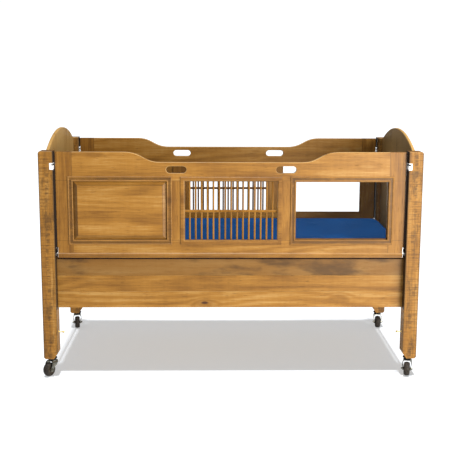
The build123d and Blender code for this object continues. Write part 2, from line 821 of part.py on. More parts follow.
for corner, (sx, sy) in corners.items():
    caster_place = Location((sx * post_x, sy * post_y, 0), (0, 0, swivel_turn[corner]))
    shapes = {"fork": fork_shape, "wheel": wheel_shape, "tyre": tyre_shape}
    for piece_name, shape in shapes.items():
        with BuildPart() as caster_piece:
            with Locations(caster_place):
                add(shape.part)
        finish(caster_piece, f"caster_{piece_name}_{corner}")

# Black cup under each post, with the riveted kingpin that the fork swivels on.
with BuildPart() as caster_cups:
    for sx, sy in corners.values():
        with BuildSketch(Plane(origin=(sx * post_x, sy * post_y, 0), x_dir=(1, 0, 0), z_dir=(0, -1, 0))):
            with BuildLine():
                Polyline(
                    (0, post_bottom),
                    (28, post_bottom),
                    (28, post_bottom - 4),
                    (24, post_bottom - 8),
                    (22, fork_top + 0.5),
                    (kingpin_radius, fork_top + 0.5),
                    (kingpin_radius, fork_top - 4.5),
                    (kingpin_radius + 3, fork_top - 4.5),
                    (kingpin_radius + 3, fork_top - 7.5),
                    (0, fork_top - 7.5),
                    (0, post_bottom),
                )
            make_face()
        revolve(axis=Axis((sx * post_x, sy * post_y, 0), (0, 0, 1)))
finish(caster_cups, "caster_cups")
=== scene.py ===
# %% [markdown]
# # An adjustable care bed in honey-stained oak
#
# This file is a lesson in dressing a finished mechanical model in Blender. The bed's joinery,
# hinges, casters and motors arrive ready made, in metres, already hanging on the bodies that move
# them. What is left to make is everything an eye judges first: the light, the grain and glaze of
# the wood, the metals and plastics, the vinyl mattress, and the small screws and bolts.
#
# The bed lies along X with its head at -X, its front gate faces -Y, and Z is up.

# %% Load the frame
import json
import random
from math import cos, pi, radians, sin

import bmesh
import bpy
from mathutils import Matrix, Vector
from mathutils.bvhtree import BVHTree


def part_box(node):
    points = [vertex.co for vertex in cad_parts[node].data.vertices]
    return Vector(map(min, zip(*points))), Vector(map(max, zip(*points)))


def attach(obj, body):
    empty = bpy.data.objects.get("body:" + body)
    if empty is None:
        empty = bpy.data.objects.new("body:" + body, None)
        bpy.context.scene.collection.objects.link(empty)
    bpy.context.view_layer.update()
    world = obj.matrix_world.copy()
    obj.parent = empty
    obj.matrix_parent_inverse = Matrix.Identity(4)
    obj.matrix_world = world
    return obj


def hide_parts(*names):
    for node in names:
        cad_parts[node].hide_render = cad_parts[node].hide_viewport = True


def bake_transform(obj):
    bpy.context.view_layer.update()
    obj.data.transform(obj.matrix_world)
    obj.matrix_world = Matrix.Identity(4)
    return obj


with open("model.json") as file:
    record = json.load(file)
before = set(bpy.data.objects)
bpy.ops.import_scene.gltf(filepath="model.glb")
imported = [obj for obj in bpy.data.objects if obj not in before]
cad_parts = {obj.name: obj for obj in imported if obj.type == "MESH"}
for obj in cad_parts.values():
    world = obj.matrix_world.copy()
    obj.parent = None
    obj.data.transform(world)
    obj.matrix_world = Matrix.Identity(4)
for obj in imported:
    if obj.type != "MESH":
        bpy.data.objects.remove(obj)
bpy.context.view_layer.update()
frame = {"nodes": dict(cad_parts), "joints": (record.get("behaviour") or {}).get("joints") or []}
nodes = frame["nodes"]

# %% [markdown]
# ## Where things are
#
# Every place used below is read from the frame, so the looks follow the joinery if a board gets
# wider or a gate lower. A small table of faces and edges is worked out once.

# %% Read the places
def low_high(node, axis):
    """Lowest and highest value of one axis of a node's box."""
    low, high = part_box(node)
    return low[axis], high[axis]


X, Y, Z = 0, 1, 2
SIDES = {"front": -1, "rear": 1}
ENDS = {"left": -1, "right": 1}
CORNERS = {f"{side}_{end}": (ENDS[end], SIDES[side]) for side in SIDES for end in ENDS}

post_low, post_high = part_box("post_front_right")
post_middle = (post_low + post_high) / 2
stile_inner = low_high("front_gate_rails", X)[1]
opening_low, opening_high = low_high("front_gate_grille", Z)
gate_outer_face = -low_high("front_gate_rails", Y)[0]
gate_back = low_high("front_gate_rails", Y)[1]
gate_high = low_high("front_gate_stiles", Z)[1]
gate_end = low_high("front_gate_stiles", X)[1]
board_low, board_high = low_high("front_side_board", Z)
deck_high = low_high("seat_deck", Z)[1]
print(f"gate face at {gate_outer_face:.4f}, openings from {opening_low:.3f} to {opening_high:.3f}")

# %% [markdown]
# ## The camera
#
# A catalogue picture of furniture is taken from well back with a long lens, so that the upright
# posts stay almost parallel. The camera stands nearly six metres off, a little above the bed, and
# looks slightly down, so the far gate shows over the near one. The lens, the height and the tilt
# are given, and the turn is built from them as three perpendicular directions.

# %% Place the camera
def camera_turn(down, right, roll):
    """Rotation matrix of a camera that looks along +Y, then tips down, turns right and rolls."""
    ahead = Vector((sin(right) * cos(down), cos(right) * cos(down), -sin(down)))
    level = Vector((cos(right), -sin(right), 0))
    above = level.cross(ahead)
    across = level * cos(roll) + above * sin(roll)
    upward = above * cos(roll) - level * sin(roll)
    return Matrix((across, upward, -ahead)).transposed()


camera = bpy.data.objects.new("camera", bpy.data.cameras.new("camera"))
bpy.context.scene.collection.objects.link(camera)
camera.data.lens = 73.36
camera.data.sensor_width = 36
camera.location = (-0.106, -5.754, 1.776)
camera.rotation_euler = camera_turn(radians(9.973), radians(1.091), radians(0.22)).to_euler()
bpy.context.scene.camera = camera
print("camera", tuple(round(v, 3) for v in camera.location), "lens", camera.data.lens)

# %% [markdown]
# ## The studio
#
# Furniture is often shot on a white sweep, lit so that the paper burns out to pure white and only
# a grey shadow ties the piece to the ground. Four lights do that here. A small sun overhead lights
# the sweep evenly, however far it runs, and lays a shadow with a fairly crisp edge straight under
# the bed. A panel low at the front right gives the upright wood its light: it stands close enough
# that the right post comes out brighter than the left one, and it lays a pale sheen on the
# lacquer. A weaker one further round models the ends. Flags keep both panels off the sweep, or
# they would wash out the shadow; Blender's light linking is those flags. The world fills in what
# is left. The Standard view transform keeps white at white, where the default one would grey it.

# %% Light the studio
def aim(lamp, target):
    """Turn a lamp so that it shines towards a point."""
    lamp.rotation_euler = (Vector(target) - lamp.location).to_track_quat("-Z", "Y").to_euler()


def add_lamp(name, kind, place, target, energy, **settings):
    """Make one lamp, place it and aim it."""
    data = bpy.data.lights.new(name, kind)
    data.energy = energy
    for key, value in settings.items():
        setattr(data, key, value)
    lamp = bpy.data.objects.new(name, data)
    bpy.context.scene.collection.objects.link(lamp)
    lamp.location = place
    aim(lamp, target)
    return lamp


world = bpy.data.worlds.new("studio")
bpy.context.scene.world = world
world.use_nodes = True
tree = world.node_tree
seen = tree.nodes["Background"]
seen.inputs["Color"].default_value = (1, 1, 1, 1)
seen.inputs["Strength"].default_value = 1.05
fill = tree.nodes.new("ShaderNodeBackground")
fill.inputs["Color"].default_value = (0.95, 0.97, 1.0, 1)
fill.inputs["Strength"].default_value = 0.26
ray = tree.nodes.new("ShaderNodeLightPath")
chooser = tree.nodes.new("ShaderNodeMixShader")
tree.links.new(ray.outputs["Is Camera Ray"], chooser.inputs["Fac"])
tree.links.new(fill.outputs[0], chooser.inputs[1])
tree.links.new(seen.outputs[0], chooser.inputs[2])
tree.links.new(chooser.outputs[0], tree.nodes["World Output"].inputs["Surface"])

add_lamp("overhead_sun", "SUN", (0.05, -0.6, 5), (0, 0, 0), 3.1, angle=radians(3))
right_panel = add_lamp("right_panel", "AREA", (3.0, -2.7, 2.7), (0.3, -0.4, 0.85), 120, size=1.4)
sheen_panel = add_lamp("sheen_panel", "AREA", (2.8, -5.5, 0.9), (0.7, -0.5, 0.9), 350, size=2.0)
bpy.context.scene.view_settings.view_transform = "Standard"

bpy.ops.mesh.primitive_plane_add(size=60)
floor = bpy.context.object
floor.name = "floor"
flagged = bpy.data.collections.new("flagged_from_panels")
flagged.objects.link(floor)
flagged.collection_objects[0].light_linking.link_state = "EXCLUDE"
for lamp in (right_panel, sheen_panel):
    lamp.light_linking.receiver_collection = flagged
print("studio: a sun, two panels, a white world and a floor")

# %% [markdown]
# ## A short way to write materials
#
# A procedural material is a chain of small nodes, and writing each link in full buries the idea.
# The Recipe class below keeps the chain readable: every method adds one node and gives back its
# output, so a recipe reads like a sum. Numbers that are the same all over a surface go straight
# onto the shader's own sockets, where other programs can read them.

# %% The recipe helper
class Recipe:
    """One material under construction. Every method adds a node and returns its output socket."""

    def __init__(self, name, **sockets):
        self.material = bpy.data.materials.new(name)
        self.material.use_nodes = True
        self.tree = self.material.node_tree
        self.shader = self.tree.nodes["Principled BSDF"]
        for socket, value in sockets.items():
            self.shader.inputs[self.socket(socket)].default_value = value

    @staticmethod
    def socket(name):
        return name.replace("_", " ").title().replace("Ior", "IOR")

    def node(self, kind, inputs=None, out=0, **settings):
        made = self.tree.nodes.new("ShaderNode" + kind)
        for key, value in settings.items():
            setattr(made, key, value)
        for socket, value in (inputs or {}).items():
            if isinstance(value, bpy.types.NodeSocket):
                self.tree.links.new(value, made.inputs[socket])
            else:
                made.inputs[socket].default_value = value
        return made.outputs[out]

    def place(self, output="Object"):
        return self.node("TexCoord", out=output)

    def split(self, vector):
        axes = self.node("SeparateXYZ", {0: vector}).node.outputs
        return axes[0], axes[1], axes[2]

    def vector(self, x, y, z):
        return self.node("CombineXYZ", {0: x, 1: y, 2: z})

    def maths(self, operation, a, b=0.0):
        return self.node("Math", {0: a, 1: b}, operation=operation)

    def add(self, a, b):
        return self.maths("ADD", a, b)

    def times(self, a, b):
        return self.maths("MULTIPLY", a, b)

    def step(self, value, low, high, to_low=0.0, to_high=1.0):
        """Smooth rise from to_low to to_high while value goes from low to high."""
        ends = {0: value, 1: low, 2: high, 3: to_low, 4: to_high}
        return self.node("MapRange", ends, interpolation_type="SMOOTHSTEP")

    def stretch(self, vector, x, y, z):
        return self.node("VectorMath", {0: vector, 1: (x, y, z)}, operation="MULTIPLY")

    def noise(self, vector, scale=1.0, detail=3.0, roughness=0.5, distortion=0.0):
        inputs = {"Scale": scale, "Detail": detail, "Roughness": roughness, "Distortion": distortion}
        return self.node("TexNoise", {"Vector": vector, **inputs})

    def cells(self, vector, scale=1.0, out="Distance"):
        return self.node("TexVoronoi", {"Vector": vector, "Scale": scale}, out=out)

    def random(self, value):
        return self.node("TexWhiteNoise", {"W": value}, noise_dimensions="1D")

    def ramp(self, factor, *stops):
        ramp = self.node("ValToRGB", {0: factor}).node
        for extra in range(len(stops) - 2):
            ramp.color_ramp.elements.new(0.5)
        for element, (position, colour) in zip(ramp.color_ramp.elements, stops):
            element.position = position
            element.color = (*colour, 1)
        return ramp.outputs[0]

    def blend(self, factor, a, b, mode="MIX"):
        """Colour between a and b, or b worked into a by another mode."""
        colours = [(*c, 1) if isinstance(c, tuple) else c for c in (a, b)]
        inputs = {0: factor, 6: colours[0], 7: colours[1]}
        return self.node("Mix", inputs, out=2, data_type="RGBA", blend_type=mode)

    def bump(self, height, distance, strength=1.0):
        made = self.node("Bump", {"Height": height, "Distance": distance, "Strength": strength})
        self.tree.links.new(made, self.shader.inputs["Normal"])

    def set(self, **sockets):
        for socket, value in sockets.items():
            self.tree.links.new(value, self.shader.inputs[self.socket(socket)])
        return self.material


def dress(names, material):
    """Give nodes a material in every one of their slots."""
    for name in names:
        slots = nodes[name].material_slots
        for slot in slots:
            slot.material = material
        if not slots:
            nodes[name].data.materials.append(material)
    print(f"{material.name}: {', '.join(names)}")


# %% The white sweep
# The sweep glows a little, as paper does over a light table, so its shadows stay grey and clean.
sweep = Recipe("white_sweep", roughness=0.9, emission_color=(1, 1, 1, 1), emission_strength=0.41)
cloudy = sweep.noise(sweep.place(), 0.8, 2)
sweep.set(base_color=sweep.ramp(cloudy, (0.3, (0.66, 0.70, 0.745)), (0.7, (0.68, 0.72, 0.765))))
floor.data.materials.append(sweep.material)

# %% [markdown]
# ## The oak
#
# The bed is solid hardwood under a honey stain and a satin lacquer. Close up, such wood shows six
# things, and each is one layer of the recipe: broad soft streaks that run the length of a board,
# cathedral figure where the saw crossed the growth rings, fine fibres, short dark pores that drink
# the stain, blotches, and now and then a knot with the grain bent round it. All of them are noise
# in a coordinate that is squeezed along the grain and stretched across it.
#
# A board glued up from planks changes tone at every joint, so a plank's number picks its own tone
# and shifts its figure. Edges matter as much as faces: where a flat face rolls over into a rounded
# edge it is painted pale, partly as stain rubbed thin and partly as a painted highlight that the
# rounded edge catches. A face that lies square to the axes has one part of its normal at one, and
# a rounded edge hasn't, so the pale edge finds the rounded edges by itself.

# %% The oak recipe
HONEY = {
    "deep": (0.078, 0.028, 0.003),
    "brown": (0.165, 0.066, 0.008),
    "honey": (0.290, 0.129, 0.018),
    "straw": (0.460, 0.270, 0.085),
}
RUBBED_AND_LIT = (0.80, 0.56, 0.26)
KNOT = (0.060, 0.022, 0.006)


def oak(name, along, across, planks=None, tone=0.0, figure=0.30, knots=0.5, wear_and_highlight=0.4, **more):
    """Honey-stained oak with its grain along one axis. planks is (axis, start, width) of a glued-up
    board. More settings: finish (roughness), gloss, smudge, streak and hatch (shares of a layer)."""
    finish, gloss = more.get("finish", 0.42), more.get("gloss", 0.20)
    wood = Recipe(name, specular_ior_level=gloss)
    parts = wood.split(wood.place())
    through = 3 - along - across
    run, breadth = parts[along], parts[across]
    tint = tone
    if planks:
        axis, start, width = planks
        number = wood.maths("FLOOR", wood.times(wood.add(parts[axis], -start), 1 / width))
        chance = wood.random(wood.add(number, 3.7))
        run = wood.add(run, wood.times(chance, 9.0))
        breadth = wood.add(breadth, wood.times(chance, 2.3))
        tint = wood.add(wood.times(chance, 0.22), tone - 0.11)
    grain = wood.vector(run, breadth, parts[through])

    knot_place = wood.stretch(grain, 2.6, 6.5, 0)
    knot_gap = wood.cells(knot_place)
    knot_pick = wood.split(wood.cells(knot_place, out="Color"))[0]
    knot_real = wood.step(knot_pick, 1 - knots, 1 - knots + 0.02)
    swirl = wood.times(wood.step(knot_gap, 0.30, 0.02), knot_real)
    heart = wood.times(wood.step(knot_gap, 0.075, 0.035), knot_real)

    bands = wood.noise(wood.stretch(grain, 1.1, 15, 15), 1, 3, 0.5)
    streaks = wood.noise(wood.stretch(grain, 2.6, 95, 95), 1, 5, 0.75)
    saw = wood.noise(wood.stretch(grain, 170, 7, 7), 1, 2)
    growth = wood.noise(wood.stretch(grain, 0.5, 3.0, 3.0), 1, 1.5, 0.4, 0.35)
    rings = wood.add(growth, wood.times(swirl, 0.10))
    arches = wood.add(wood.times(wood.maths("SINE", wood.times(rings, 88.0)), 0.5), 0.5)
    blotches = wood.noise(wood.stretch(grain, 2.6, 8, 8), 1, 4)
    smudges = wood.step(wood.noise(wood.stretch(grain, 5, 13, 13), 1, 3, 0.6), 0.60, 0.76)
    curl = wood.noise(wood.stretch(grain, 70, 5, 5), 1, 2)
    fibres = wood.noise(wood.stretch(grain, 14, 430, 430), 1, 2)
    pores = wood.step(wood.noise(wood.stretch(grain, 22, 300, 300), 1, 1), 0.66, 0.74)

    shade = wood.add(tint, wood.times(wood.add(arches, -0.5), figure * 0.45))
    shares = (
        (streaks, more.get("streak", 0.55)),
        (bands, 0.30),
        (blotches, 0.40),
        (fibres, 0.34),
        (curl, 0.08),
        (saw, more.get("hatch", 0.0)),
    )
    for layer, share in shares:
        shade = wood.add(shade, wood.times(wood.add(layer, -0.5), share))
    shade = wood.add(shade, 0.40)
    colour = wood.ramp(
        shade,
        (0.05, HONEY["deep"]),
        (0.28, HONEY["brown"]),
        (0.52, HONEY["honey"]),
        (0.86, HONEY["straw"]),
    )
    colour = wood.blend(wood.times(smudges, more.get("smudge", 0.22)), colour, HONEY["deep"])
    colour = wood.blend(wood.times(pores, 0.55), colour, HONEY["deep"])
    colour = wood.blend(wood.times(swirl, 0.45), colour, HONEY["brown"])
    colour = wood.blend(heart, colour, KNOT)

    # Rounded edges are painted pale: partly rubbed stain, partly a painted highlight.
    facing = wood.node("VectorMath", {0: wood.place("Normal")}, operation="ABSOLUTE")
    nx, ny, nz = wood.split(facing)
    squareness = wood.maths("MAXIMUM", wood.maths("MAXIMUM", nx, ny), nz)
    rolled = wood.step(squareness, 0.995, 0.86)
    patchy = wood.step(wood.noise(wood.place(), 7, 3), 0.20, 0.60)
    colour = wood.blend(wood.times(wood.times(rolled, patchy), wear_and_highlight), colour, RUBBED_AND_LIT)

    sheen = wood.add(wood.times(fibres, 0.10), wood.times(pores, 0.20))
    height = wood.add(wood.times(fibres, 0.5), wood.times(pores, -0.9))
    wood.set(base_color=colour, roughness=wood.add(sheen, finish - 0.05))
    wood.bump(height, 0.0006, 0.5)
    return wood, colour, height


# %% [markdown]
# ## The posts
#
# The posts are left as they came off the saw. A band saw leaves fine ridges straight across the
# grain, and the dark antique glaze, wiped over and off again, stays in them. So this finish takes
# the oak recipe and adds four things: ridges as a tight noise along Z, dark dashes where a patch
# of ridges kept its glaze, a darkening along the upright edges that is partly glaze and partly
# painted shade, and a nearly black painted shadow on the faces that the gates and boards shut
# against, standing in for the shade in those gaps.

# %% Post finish
# Dark glaze colour: real glaze in saw ridges, joints and moulding hollows, and also painted shade on
# the post edges and the panel bevels.
GLAZE_AND_SHADE = (0.060, 0.028, 0.007)
# Painted shadow, nearly black, for the post faces in the gaps where the gates shut.
GAP_SHADOW = (0.022, 0.011, 0.004)


def sawn_posts():
    """Oak with saw ridges across the grain and antique glaze caught in them."""
    wood, colour, height = oak(
        "post_oak", Z, X, tone=0.10, figure=0.18, knots=0.25, wear_and_highlight=0.30,
        finish=0.50, smudge=0.45, hatch=0.08,
    )
    place = wood.place()
    x, y, z = wood.split(place)
    ridges = wood.noise(wood.stretch(place, 9, 9, 230), 1, 3)
    half = (post_high.x - post_low.x) / 2
    wander = wood.times(wood.add(wood.noise(wood.stretch(place, 1, 1, 7), 1, 2), -0.5), 0.030)
    from_x = wood.add(wood.maths("ABSOLUTE", x), -post_middle.x)
    from_y = wood.add(wood.maths("ABSOLUTE", y), -abs(post_middle.y))
    aside = wood.maths("MINIMUM", wood.maths("ABSOLUTE", wood.add(from_x, wander)), half)
    beside = wood.maths("MINIMUM", wood.maths("ABSOLUTE", wood.add(from_y, wander)), half)
    ladder = wood.maths("MAXIMUM", wood.step(aside, 0.013, 0.006), wood.step(beside, 0.013, 0.006))
    rungs = wood.step(wood.noise(wood.stretch(place, 14, 14, 105), 1, 3, 0.6), 0.44, 0.58)
    kept = wood.step(wood.noise(wood.stretch(place, 12, 12, 5), 1, 2), 0.38, 0.52)
    dashes = wood.times(wood.times(ladder, rungs), kept)
    seams = wood.step(wood.noise(wood.stretch(place, 60, 60, 2.4), 1, 3), 0.56, 0.72)
    patches = wood.step(wood.noise(wood.stretch(place, 24, 24, 9), 1, 5, 0.7), 0.50, 0.66)
    # Darkening along the upright edges, partly real glaze and partly painted shade.
    edge = wood.times(*(
        wood.step(wood.maths("ABSOLUTE", offset), half - 0.010, half - 0.001)
        for offset in (from_x, from_y)
    ))
    # Painted shadow: the post faces beside the closed gates and boards are made nearly black, standing
    # in for the shade in those gaps.
    inner_face = wood.step(wood.maths("ABSOLUTE", x), post_low.x + 0.003, post_low.x + 0.001)
    beside_gate = wood.step(wood.maths("ABSOLUTE", y), -gate_back - 0.002, -gate_back + 0.002)
    above_foot = wood.step(z, board_low - 0.004, board_low)
    gap_shadow_mask = wood.times(wood.times(inner_face, beside_gate), above_foot)
    colour = wood.blend(wood.times(wood.step(ridges, 0.46, 0.66), 0.58), colour, HONEY["deep"])
    colour = wood.blend(wood.times(dashes, 0.60), colour, GLAZE_AND_SHADE)
    colour = wood.blend(wood.times(seams, 0.55), colour, GLAZE_AND_SHADE)
    colour = wood.blend(wood.times(patches, 0.62), colour, GLAZE_AND_SHADE)
    colour = wood.blend(wood.times(edge, 0.60), colour, GLAZE_AND_SHADE)
    # Painted shadow in the gate gaps.
    colour = wood.blend(wood.times(gap_shadow_mask, 0.93), colour, GAP_SHADOW)
    wood.bump(wood.add(height, wood.times(ridges, 1.6)), 0.0009, 0.6)
    return wood.set(base_color=colour)


dress([f"post_{corner}" for corner in CORNERS], sawn_posts())

# %% [markdown]
# ## The gates, the side boards and the ends
#
# The grain tells how the bed is built: it runs along the rails and up the stiles, so the joints
# between them read without a drawn line. A hair of shadow is still laid along each joint, because
# stain gathers there. The side boards and the raised panels are glued up from planks, and the top
# plank of each board is made the darkest, with dark mottling over it. The end panels are glued up
# from upright planks, and the foot panel is made lighter than the head panel as painted light.

# %% Gate, board and panel finishes
def joint_shadow(wood, colour, lines):
    """Darken a hair's width along joint lines, each given as a coordinate socket and its value."""
    shadow = 0.0
    for coordinate, value in lines:
        gap = wood.maths("ABSOLUTE", wood.add(coordinate, -value))
        shadow = wood.maths("MAXIMUM", wood.step(gap, 0.0016, 0.0002), shadow)
    return wood.blend(wood.times(shadow, 0.7), colour, GLAZE_AND_SHADE)


def gate_oak(name, along, across, **settings):
    """Gate oak with stain gathered along the joints between rails and stiles."""
    wood, colour, _ = oak(name, along, across, **settings)
    x, _, z = wood.split(wood.place())
    beside = wood.maths("ABSOLUTE", x)
    joints = [(beside, stile_inner), (z, opening_low), (z, opening_high)]
    return wood.set(base_color=joint_shadow(wood, colour, joints))


rail_oak = gate_oak("gate_rail_oak", X, Z, tone=0.09, knots=0.30)
stile_oak = gate_oak("gate_stile_oak", Z, X, tone=-0.01, knots=0.25, figure=0.2)
dress([f"{side}_gate_rails" for side in SIDES], rail_oak)
dress([f"{side}_gate_stiles" for side in SIDES], stile_oak)

panel_low, panel_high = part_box("front_gate_raised_panel")
panel_middle, panel_half = (panel_low + panel_high) / 2, (panel_high - panel_low) / 2
bevel_width = 0.027


def raised_panel(name):
    """Glued-up planks with painted shade on the bevels: dark lines at the foot and the rim of the
    bevel, heaviest on the head-end side and lighter on the low side.
    """
    planks = (Z, opening_low, (opening_high - opening_low) / 4)
    looks = {"tone": 0.06, "figure": 0.2, "knots": 0.12, "wear_and_highlight": 0.0, "streak": 0.5, "smudge": 0.1}
    wood, colour, _ = oak(name, X, Z, planks, **looks)
    x, y, z = wood.split(wood.place())
    across = wood.add(x, -panel_middle.x)
    upward = wood.add(z, -panel_middle.z)
    gap_x = wood.add(wood.maths("ABSOLUTE", across), bevel_width - panel_half.x)
    gap_z = wood.add(wood.maths("ABSOLUTE", upward), bevel_width - panel_half.z)
    out = wood.maths("MAXIMUM", gap_x, gap_z)
    outer_side = wood.step(wood.maths("ABSOLUTE", y), gate_outer_face - 0.014, gate_outer_face - 0.012)
    # Painted shade: dark lines at the bevel's foot and rim, and shading on the bevels, heaviest on the
    # head-end side, which faces away from the light, and lighter on the low side, which faces down.
    foot = wood.step(wood.maths("ABSOLUTE", wood.add(out, -0.001)), 0.0030, 0.0006)
    rim = wood.step(out, bevel_width - 0.0085, bevel_width - 0.0045)
    on_bevel = wood.step(out, 0.0, 0.0010)
    sideways = wood.step(wood.add(gap_x, wood.times(gap_z, -1.0)), -0.0005, 0.0005)
    head_side = wood.times(sideways, wood.step(across, 0.01, -0.01))
    low_side = wood.times(wood.step(sideways, 0.6, 0.4), wood.step(upward, 0.01, -0.01))
    side_shade = wood.add(wood.add(wood.times(head_side, 0.72), wood.times(low_side, 0.26)), 0.04)
    lines = wood.maths("MAXIMUM", wood.times(foot, 0.60), wood.times(rim, 0.88))
    bevel_shade = wood.maths("MAXIMUM", wood.times(on_bevel, side_shade), lines)
    return wood.set(base_color=wood.blend(wood.times(bevel_shade, outer_side), colour, GLAZE_AND_SHADE))


dress([f"{side}_gate_raised_panel" for side in SIDES], raised_panel("raised_panel_oak"))

TOP_PLANK_DARK = (0.150, 0.066, 0.012)
plank_width = (board_high - board_low) / 3
board_wood, board_colour, _ = oak(
    "side_board_oak", X, Z, (Z, board_low, plank_width), tone=0.09, knots=0.4, wear_and_highlight=0.2, smudge=0.25
)
board_place = board_wood.place()
height_on_board = board_wood.split(board_place)[2]
# The top plank is made darker, with dark mottling over it.
top_plank = board_wood.step(height_on_board, board_high - plank_width - 0.001, board_high - plank_width)
mottle_noise = board_wood.noise(board_wood.stretch(board_place, 3.2, 9, 9), 1, 4, 0.6)
top_plank_mottle = board_wood.times(top_plank, board_wood.step(mottle_noise, 0.46, 0.66))
board_colour = board_wood.blend(board_wood.times(top_plank, 0.72), board_colour, TOP_PLANK_DARK)
board_colour = board_wood.blend(board_wood.times(top_plank_mottle, 0.80), board_colour, GLAZE_AND_SHADE)
dress([f"{side}_side_board" for side in SIDES], board_wood.set(base_color=board_colour))

end_low, end_high = low_high("head_panel", Y)
end_planks = (Y, end_low, (end_high - end_low) / 7)
end_looks = {"figure": 0.15, "finish": 0.6, "gloss": 0.1, "smudge": 0.3, "wear_and_highlight": 0.0}
# The foot panel's higher tone is painted light: it is made lighter than the head panel to stand in for
# light on it.
for end_name, end_tone_and_light in (("head", 0.48), ("foot", 0.72)):
    end_oak, _, _ = oak(f"{end_name}_panel_oak", Z, Y, end_planks, tone=end_tone_and_light, **end_looks)
    dress([f"{end_name}_panel"], end_oak.material)

# %% [markdown]
# ## The mouldings, the spindles and the plywood deck
#
# The mouldings are where antique glaze shows most: it fills the quirks between the beads and is
# wiped off their tops. The recipe reads how far a point stands proud of the gate's face, so the
# glaze settles in the low places of the profile. The spindles are turned from plain oak, and the
# rear gate's are darkened as painted shade on the far gate. The deck is birch plywood, whose edges
# show their plies.

# %% Moulding, spindle and plywood finishes
moulding_looks = {"figure": 0.1, "knots": 0.0, "wear_and_highlight": 0.08, "tone": -0.04}
moulding, moulding_colour, _ = oak("antique_moulding", X, Z, **moulding_looks)
_, depth, height = moulding.split(moulding.place())
base_line = moulding.step(height, opening_low - 0.040, opening_low - 0.045, 0.0, 0.0028)
proud = moulding.add(moulding.maths("ABSOLUTE", depth), -gate_outer_face)
proud_enough = moulding.add(proud, base_line)
wiped = moulding.noise(moulding.place(), 26, 4)
hollow = moulding.step(moulding.add(proud_enough, moulding.times(wiped, 0.005)), 0.0070, 0.0045)
outward = moulding.step(proud, 0.0002, 0.001)
caught = moulding.times(moulding.times(hollow, outward), 0.62)
moulding_colour = moulding.blend(caught, moulding_colour, GLAZE_AND_SHADE)
mouldings = [f"{side}_gate_mouldings" for side in SIDES]
dress(mouldings, moulding.set(base_color=moulding_colour))

spindle_looks = {"figure": 0.1, "knots": 0.0, "wear_and_highlight": 0.1, "gloss": 0.05}
# The rear spindles' lower tone is painted shade.
for side, spindle_tone_and_shade in (("front", -0.04), ("rear", -0.42)):
    spindle_oak, _, _ = oak(f"{side}_spindle_oak", Z, X, tone=spindle_tone_and_shade, **spindle_looks)
    dress([f"{side}_gate_grille"], spindle_oak.material)

plywood = Recipe("birch_plywood", roughness=0.55)
pz = plywood.split(plywood.place())[2]
plies = plywood.step(plywood.maths("SINE", plywood.times(pz, 2 * pi / 0.0027)), -0.2, 0.2)
veneer = plywood.noise(plywood.stretch(plywood.place(), 2, 18, 300), 1, 5, 0.6)
face_colour = plywood.ramp(veneer, (0.3, (0.50, 0.34, 0.18)), (0.7, (0.66, 0.49, 0.29)))
flat = plywood.step(plywood.split(plywood.place("Normal"))[2], 0.5, 0.6)
edge_colour = plywood.blend(plies, (0.30, 0.17, 0.07), (0.60, 0.43, 0.23))
plywood.bump(veneer, 0.0004, 0.4)
decks = ["back_deck", "seat_deck", "thigh_deck", "calf_deck"]
dress(decks, plywood.set(base_color=plywood.blend(flat, edge_colour, face_colour)))

# %% [markdown]
# ## The clear pane
#
# The window is a sheet of clear polycarbonate. Real glass in a path tracer blocks the lamps behind
# it and leaves the bed's inside too dark, and a sheet this thin hardly bends light. So the pane is
# a mix: see-through where it is looked at squarely, and a reflection that grows towards grazing
# angles, weighted by a Fresnel node. A few faint wipe marks live in its roughness.

# %% Pane finish
pane = Recipe("clear_pane", base_color=(0.30, 0.34, 0.35, 1), metallic=0.0)
wipes = pane.noise(pane.stretch(pane.place(), 3, 3, 9), 1, 3, 0.6, 1.5)
pane.set(roughness=pane.step(wipes, 0.45, 0.75, 0.03, 0.14))
clear = pane.node("BsdfTransparent", {"Color": (0.998, 1.0, 1.0, 1)})
mirror_share = pane.node("Fresnel", {"IOR": 1.16})
through = pane.node("MixShader", {0: mirror_share, 1: clear, 2: pane.shader.outputs[0]})
pane.tree.links.new(through, pane.tree.nodes["Material Output"].inputs["Surface"])
dress([f"{side}_gate_pane" for side in SIDES], pane.material)

# %% [markdown]
# ## Metals, paint, plastics and rubber
#
# None of the hardware is new metal. Zinc plate has a faint mottle and fine scratches, turned brass
# dulls unevenly, and powder paint has an orange-peel skin. Moulded plastic is never quite smooth,
# and a caster's tyre carries dust and scuffs round its tread. Each recipe is the same few lines
# with its own scale, so one function makes them all.

# %% Hardware finishes
def hardware(name, pale, dark, metal, rough, mottle, grit, depth, scratch=0.0, **sockets):
    """Mottled, lightly scratched hardware. mottle and grit are noise scales, and depth is the
    bump's in metres."""
    stuff = Recipe(name, metallic=metal, **sockets)
    place = stuff.place()
    tone = stuff.noise(place, mottle, 4, 0.6)
    fine = stuff.noise(place, grit, 2)
    marks = stuff.step(stuff.noise(stuff.stretch(place, 60, 900, 900), 1, 1), 0.68, 0.75)
    colour = stuff.ramp(tone, (0.32, dark), (0.68, pale))
    colour = stuff.blend(stuff.times(marks, scratch), colour, tuple(min(1.0, 1.5 * c) for c in pale))
    gloss = stuff.add(stuff.times(tone, 0.16), stuff.times(fine, 0.10))
    stuff.set(base_color=colour, roughness=stuff.add(gloss, rough - 0.13))
    stuff.bump(fine, depth, 0.6)
    return stuff.material


